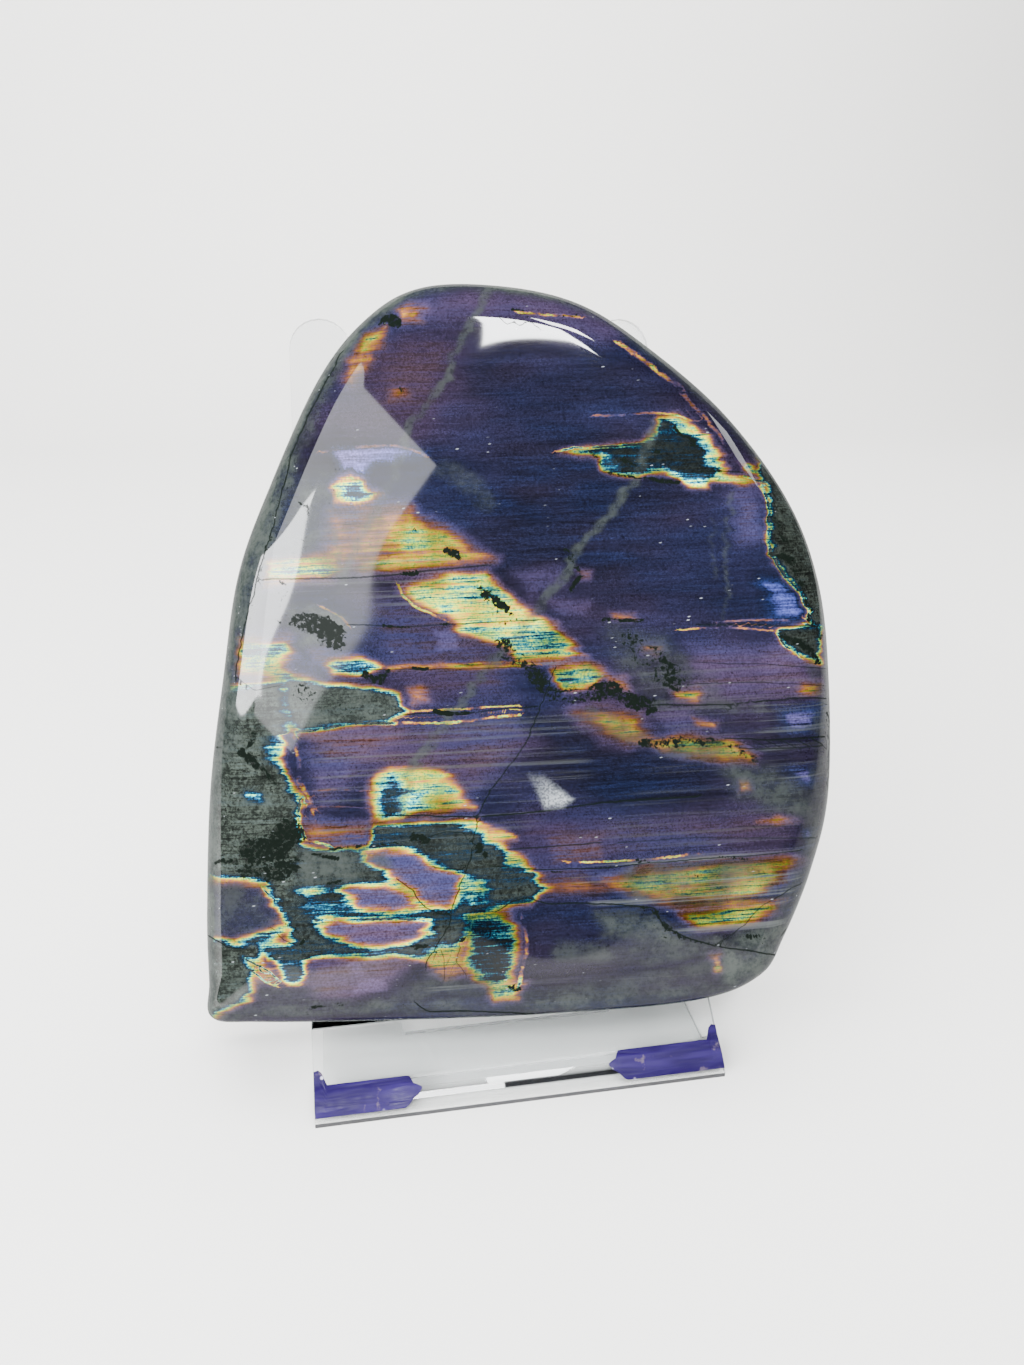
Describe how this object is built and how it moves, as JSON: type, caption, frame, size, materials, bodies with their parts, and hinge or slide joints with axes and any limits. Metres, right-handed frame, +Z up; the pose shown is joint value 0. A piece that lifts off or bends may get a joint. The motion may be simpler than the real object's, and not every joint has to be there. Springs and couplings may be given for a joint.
{
  "type": "labradorite freeform",
  "caption": "Polished labradorite freeform slab with violet, gold, green and blue flash, leaning on a clear bent-sheet easel that still carries scraps of violet film.",
  "frame": {"origin": "centre of the footprint box, on the surface that the easel stands on", "axes": "+Z up, -Y towards the viewer of the polished face, +X to the viewer's right"},
  "size_m": [0.172, 0.114, 0.1992],
  "materials": {
    "labradorite_polish": "high polish",
    "clear_acrylic": "clear, glossy",
    "violet_film": "satin"
  },
  "bodies": {
    "root": {"labradorite": "labradorite_polish", "easel": "clear_acrylic", "film_left": "violet_film", "film_right": "violet_film"}
  },
  "joints": []
}
